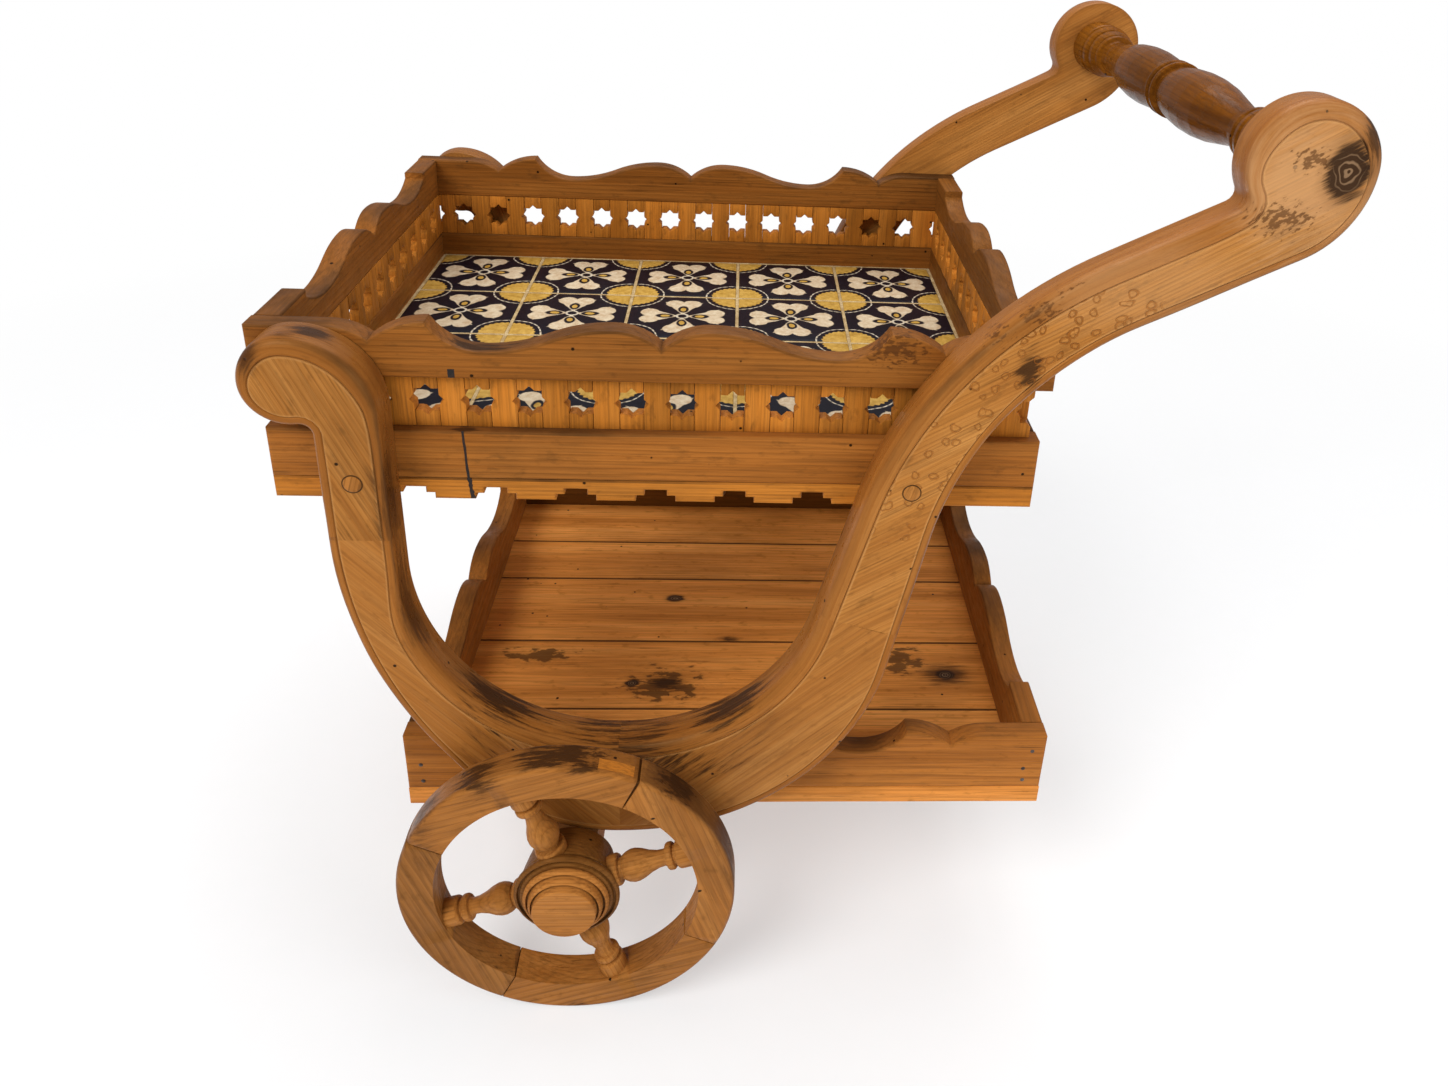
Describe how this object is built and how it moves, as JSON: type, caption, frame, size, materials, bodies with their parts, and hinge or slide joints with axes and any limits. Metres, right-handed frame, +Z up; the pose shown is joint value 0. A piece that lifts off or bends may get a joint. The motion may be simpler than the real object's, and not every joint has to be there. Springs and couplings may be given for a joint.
{
  "type": "serving cart",
  "caption": "Wooden serving cart with a tiled upper tray, a plank lower tray, scrolled side frames, a turned handle bar, spoked wheels and a swivel caster.",
  "frame": {"origin": "centre of the bounding box on the floor", "axes": "+X towards the handle, +Y towards the side away from the camera, +Z up"},
  "size_m": [0.769, 0.6656, 0.796],
  "materials": {
    "frame_wood": "waxed pine",
    "tray_wood": "waxed pine",
    "band_wood": "waxed pine, paler",
    "shelf_wood": "waxed pine",
    "handle_wood": "dark polished hardwood",
    "wheel_wood": "waxed pine",
    "caster_wood": "waxed hardwood",
    "glazed_tile": "glossy painted glaze",
    "grout": "matt cement grout",
    "steel": "dull",
    "bush_steel": "machined"
  },
  "bodies": {
    "cart": {"axle": "steel", "axle_beam": "shelf_wood", "axle_collars": "steel", "axle_washers": "steel", "caster_block": "shelf_wood", "caster_kingpin": "steel", "caster_plate": "steel", "caster_screws": "steel", "frame_plugs": "frame_wood", "frame_screws": "steel", "front_apron": "tray_wood", "front_shelf_side": "shelf_wood", "front_star_band": "band_wood", "front_top_rail": "tray_wood", "front_trim": "band_wood", "handle_bar": "handle_wood", "left_apron": "tray_wood", "left_arm": "frame_wood", "left_bow_front": "frame_wood", "left_bow_rear": "frame_wood", "left_front_leg": "frame_wood", "left_shelf_side": "shelf_wood", "left_star_band": "band_wood", "left_stepped_trim": "band_wood", "left_top_rail": "tray_wood", "rear_apron": "tray_wood", "rear_shelf_side": "shelf_wood", "rear_star_band": "band_wood", "rear_top_rail": "tray_wood", "rear_trim": "band_wood", "right_apron": "tray_wood", "right_arm": "frame_wood", "right_bow_front": "frame_wood", "right_bow_rear": "frame_wood", "right_front_leg": "frame_wood", "right_shelf_side": "shelf_wood", "right_star_band": "band_wood", "right_stepped_trim": "band_wood", "right_top_rail": "tray_wood", "shelf_plank_five": "shelf_wood", "shelf_plank_four": "shelf_wood", "shelf_plank_one": "shelf_wood", "shelf_plank_three": "shelf_wood", "shelf_plank_two": "shelf_wood", "tile_grout": "grout", "tiles": "glazed_tile", "tray_base": "shelf_wood"},
    "left_wheel": {"left_wheel_bush": "bush_steel", "left_wheel_felloes": "wheel_wood", "left_wheel_hub": "wheel_wood", "left_wheel_hub_cap": "wheel_wood", "left_wheel_spokes": "wheel_wood"},
    "right_wheel": {"right_wheel_bush": "bush_steel", "right_wheel_felloes": "wheel_wood", "right_wheel_hub": "wheel_wood", "right_wheel_hub_cap": "wheel_wood", "right_wheel_spokes": "wheel_wood"},
    "caster_swivel": {"caster_fork": "steel", "caster_axle": "steel"},
    "caster_roller": {"caster_wheel": "caster_wood"}
  },
  "joints": [
    {"name": "left_wheel_roll", "type": "hinge", "parent": "cart", "child": "left_wheel", "pos_m": [-0.1675, -0.3, 0.137], "axis": [0, 1, 0], "continuous": true},
    {"name": "right_wheel_roll", "type": "hinge", "parent": "cart", "child": "right_wheel", "pos_m": [-0.1675, 0.3, 0.137], "axis": [0, 1, 0], "continuous": true},
    {"name": "caster_turn", "type": "hinge", "parent": "cart", "child": "caster_swivel", "pos_m": [0.1455, 0, 0.11], "axis": [0, 0, 1], "continuous": true},
    {"name": "caster_roll", "type": "hinge", "parent": "caster_swivel", "child": "caster_roller", "pos_m": [0.1755, 0, 0.05], "axis": [0, 1, 0], "continuous": true}
  ]
}
